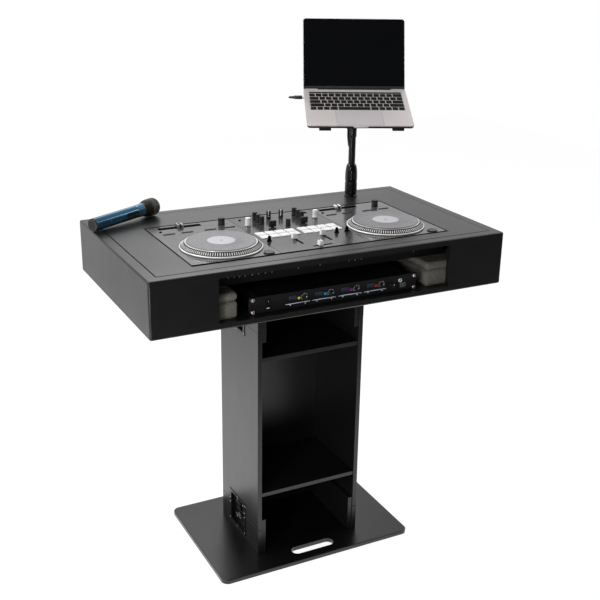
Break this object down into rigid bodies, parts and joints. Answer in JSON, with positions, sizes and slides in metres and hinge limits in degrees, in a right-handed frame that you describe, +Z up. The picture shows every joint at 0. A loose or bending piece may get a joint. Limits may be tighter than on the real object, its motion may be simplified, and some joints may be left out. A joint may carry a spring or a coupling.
{
  "type": "dj booth",
  "caption": "Free-standing DJ booth: a shallow case on an open column and floor plate, with a deck controller set into its top, a rack bay and a laptop on a pole.",
  "frame": {"origin": "on the floor under the middle of the case, on the floor plate's underside", "axes": "+X to the operator's right, +Y away from the operator, +Z up"},
  "size_m": [1.0321, 0.6996, 1.44],
  "materials": {
    "black_lacquer": "satin black textured lacquer",
    "plate_paint": "matt black powder coat",
    "latch_metal": "black plated",
    "foam": "matt closed-cell foam",
    "rack_paint": "matt black paint",
    "screw_metal": "bright plated",
    "knob_plastic": "matt",
    "controller_plastic": "matt",
    "deck_face": "brushed dark grey",
    "motor_metal": "plain",
    "pad_plastic": "matt white",
    "platter_metal": "turned",
    "record_vinyl": "grooved",
    "bright_metal": "bright",
    "pole_paint": "gloss black",
    "laptop_metal": "bead blasted grey",
    "key_plastic": "matt",
    "stick_plastic": "matt",
    "microphone_paint": "satin blue"
  },
  "bodies": {
    "stand": {"base_plate": "plate_paint", "stub_walls": "black_lacquer", "joint_tongues": "black_lacquer", "column_sides": "black_lacquer", "column_back": "black_lacquer", "column_shelves": "black_lacquer", "latch_dishes": "latch_metal", "case_bottom": "black_lacquer", "case_sides": "black_lacquer", "case_back": "black_lacquer", "front_cheeks": "black_lacquer", "top_frame": "black_lacquer", "foam_risers": "foam", "rack_rails": "rack_paint", "rack_screws": "screw_metal", "receiver_case": "rack_paint", "receiver_panel": "rack_paint", "receiver_knobs": "knob_plastic", "controller_tray": "controller_plastic", "controller_plate": "deck_face", "platter_motors": "motor_metal", "controller_buttons": "pad_plastic"},
    "platter_left": {"platter_left": "platter_metal", "record_left": "record_vinyl"},
    "platter_right": {"platter_right": "platter_metal", "record_right": "record_vinyl"},
    "pitch_fader_left": {"pitch_fader_left": "bright_metal"},
    "pitch_fader_right": {"pitch_fader_right": "bright_metal"},
    "channel_fader_left": {"channel_fader_left": "pad_plastic"},
    "channel_fader_right": {"channel_fader_right": "pad_plastic"},
    "crossfader": {"crossfader": "pad_plastic"},
    "low_knob_left": {"low_knob_left": "knob_plastic"},
    "mid_knob_left": {"mid_knob_left": "knob_plastic"},
    "high_knob_left": {"high_knob_left": "knob_plastic"},
    "level_knob_left": {"level_knob_left": "bright_metal"},
    "filter_knob_left": {"filter_knob_left": "knob_plastic"},
    "deck_knob_left": {"deck_knob_left": "knob_plastic"},
    "effect_paddle_left": {"effect_paddle_left": "knob_plastic"},
    "low_knob_right": {"low_knob_right": "knob_plastic"},
    "mid_knob_right": {"mid_knob_right": "knob_plastic"},
    "high_knob_right": {"high_knob_right": "knob_plastic"},
    "level_knob_right": {"level_knob_right": "bright_metal"},
    "filter_knob_right": {"filter_knob_right": "knob_plastic"},
    "deck_knob_right": {"deck_knob_right": "knob_plastic"},
    "effect_paddle_right": {"effect_paddle_right": "knob_plastic"},
    "browse_knob": {"browse_knob": "knob_plastic"},
    "latch_knob_lower_left": {"latch_knob_lower_left": "latch_metal"},
    "latch_knob_upper_left": {"latch_knob_upper_left": "latch_metal"},
    "latch_knob_lower_right": {"latch_knob_lower_right": "latch_metal"},
    "latch_knob_upper_right": {"latch_knob_upper_right": "latch_metal"},
    "top_panel": {"top_panel": "black_lacquer", "pole_socket": "pole_paint"},
    "pole_tube": {"pole_tube": "pole_paint"},
    "stand_head": {"stand_head": "pole_paint"},
    "laptop_tray": {"laptop_tray": "pole_paint", "laptop_base": "laptop_metal", "laptop_keys": "key_plastic", "memory_stick": "stick_plastic"},
    "laptop_lid": {"laptop_lid": "laptop_metal"},
    "microphone": {"microphone": "microphone_paint"}
  },
  "joints": [
    {"name": "platter_spin_left", "type": "hinge", "parent": "stand", "child": "platter_left", "pos_m": [-0.2433, -0.1, 0.93], "axis": [0, 0, 1], "continuous": true},
    {"name": "platter_spin_right", "type": "hinge", "parent": "stand", "child": "platter_right", "pos_m": [0.2433, -0.1, 0.93], "axis": [0, 0, 1], "continuous": true},
    {"name": "pitch_slide_left", "type": "slide", "parent": "stand", "child": "pitch_fader_left", "axis": [1, 0, 0], "range_m": [-0.05, 0.05]},
    {"name": "pitch_slide_right", "type": "slide", "parent": "stand", "child": "pitch_fader_right", "axis": [1, 0, 0], "range_m": [-0.05, 0.05]},
    {"name": "channel_slide_left", "type": "slide", "parent": "stand", "child": "channel_fader_left", "axis": [0, 1, 0], "range_m": [-0.045, 0]},
    {"name": "channel_slide_right", "type": "slide", "parent": "stand", "child": "channel_fader_right", "axis": [0, 1, 0], "range_m": [-0.045, 0]},
    {"name": "crossfader_slide", "type": "slide", "parent": "stand", "child": "crossfader", "axis": [1, 0, 0], "range_m": [-0.014, 0.03]},
    {"name": "low_knob_left_turn", "type": "hinge", "parent": "stand", "child": "low_knob_left", "pos_m": [-0.061, 0.05, 0.928], "axis": [0, 0, 1], "range_deg": [-150, 150]},
    {"name": "mid_knob_left_turn", "type": "hinge", "parent": "stand", "child": "mid_knob_left", "pos_m": [-0.061, 0.0725, 0.928], "axis": [0, 0, 1], "range_deg": [-150, 150]},
    {"name": "high_knob_left_turn", "type": "hinge", "parent": "stand", "child": "high_knob_left", "pos_m": [-0.061, 0.095, 0.928], "axis": [0, 0, 1], "range_deg": [-150, 150]},
    {"name": "level_knob_left_turn", "type": "hinge", "parent": "stand", "child": "level_knob_left", "pos_m": [-0.103, 0.048, 0.928], "axis": [0, 0, 1], "range_deg": [-150, 150]},
    {"name": "filter_knob_left_turn", "type": "hinge", "parent": "stand", "child": "filter_knob_left", "pos_m": [-0.019, 0.095, 0.928], "axis": [0, 0, 1], "range_deg": [-150, 150]},
    {"name": "deck_knob_left_turn", "type": "hinge", "parent": "stand", "child": "deck_knob_left", "pos_m": [-0.1633, 0.09, 0.928], "axis": [0, 0, 1], "continuous": true},
    {"name": "effect_paddle_left_rock", "type": "hinge", "parent": "stand", "child": "effect_paddle_left", "pos_m": [-0.048, 0.008, 0.9265], "axis": [1, 0, 0], "range_deg": [-18, 18], "stiffness_Nm_per_rad": 0.05},
    {"name": "low_knob_right_turn", "type": "hinge", "parent": "stand", "child": "low_knob_right", "pos_m": [0.061, 0.05, 0.928], "axis": [0, 0, 1], "range_deg": [-150, 150]},
    {"name": "mid_knob_right_turn", "type": "hinge", "parent": "stand", "child": "mid_knob_right", "pos_m": [0.061, 0.0725, 0.928], "axis": [0, 0, 1], "range_deg": [-150, 150]},
    {"name": "high_knob_right_turn", "type": "hinge", "parent": "stand", "child": "high_knob_right", "pos_m": [0.061, 0.095, 0.928], "axis": [0, 0, 1], "range_deg": [-150, 150]},
    {"name": "level_knob_right_turn", "type": "hinge", "parent": "stand", "child": "level_knob_right", "pos_m": [0.103, 0.048, 0.928], "axis": [0, 0, 1], "range_deg": [-150, 150]},
    {"name": "filter_knob_right_turn", "type": "hinge", "parent": "stand", "child": "filter_knob_right", "pos_m": [0.019, 0.095, 0.928], "axis": [0, 0, 1], "range_deg": [-150, 150]},
    {"name": "deck_knob_right_turn", "type": "hinge", "parent": "stand", "child": "deck_knob_right", "pos_m": [0.3233, 0.09, 0.928], "axis": [0, 0, 1], "continuous": true},
    {"name": "effect_paddle_right_rock", "type": "hinge", "parent": "stand", "child": "effect_paddle_right", "pos_m": [0.048, 0.008, 0.9265], "axis": [1, 0, 0], "range_deg": [-18, 18], "stiffness_Nm_per_rad": 0.05},
    {"name": "browse_knob_turn", "type": "hinge", "parent": "stand", "child": "browse_knob", "pos_m": [0, 0.01, 0.928], "axis": [0, 0, 1], "continuous": true},
    {"name": "latch_knob_lower_left_turn", "type": "hinge", "parent": "stand", "child": "latch_knob_lower_left", "pos_m": [-0.15, 0, 0.058], "axis": [-1, 0, 0], "range_deg": [0, 180]},
    {"name": "latch_knob_upper_left_turn", "type": "hinge", "parent": "stand", "child": "latch_knob_upper_left", "pos_m": [-0.15, 0, 0.72], "axis": [-1, 0, 0], "range_deg": [0, 180]},
    {"name": "latch_knob_lower_right_turn", "type": "hinge", "parent": "stand", "child": "latch_knob_lower_right", "pos_m": [0.15, 0, 0.058], "axis": [1, 0, 0], "range_deg": [0, 180]},
    {"name": "latch_knob_upper_right_turn", "type": "hinge", "parent": "stand", "child": "latch_knob_upper_right", "pos_m": [0.15, 0, 0.72], "axis": [1, 0, 0], "range_deg": [0, 180]},
    {"name": "panel_lift", "type": "slide", "parent": "stand", "child": "top_panel", "axis": [0, 0, 1], "range_m": [0, 0.12]},
    {"name": "pole_slide", "type": "slide", "parent": "top_panel", "child": "pole_tube", "axis": [0, 0, 1], "range_m": [0, 0.06]},
    {"name": "stand_swivel", "type": "hinge", "parent": "pole_tube", "child": "stand_head", "pos_m": [0.3233, 0.2324, 1.13], "axis": [0, 0, 1], "continuous": true},
    {"name": "tray_tilt", "type": "hinge", "parent": "stand_head", "child": "laptop_tray", "pos_m": [0.3233, 0.2324, 1.186], "axis": [0.9171, -0.3987, 0], "range_deg": [-15, 15]},
    {"name": "laptop_lid_hinge", "type": "hinge", "parent": "laptop_tray", "child": "laptop_lid", "pos_m": [0.35338, 0.28276, 1.23969], "axis": [0.9171, -0.3987, 0], "range_deg": [-3, 129]},
    {"name": "microphone_lift", "type": "slide", "parent": "top_panel", "child": "microphone", "axis": [0, 0, 1], "range_m": [0, 0.15]}
  ]
}
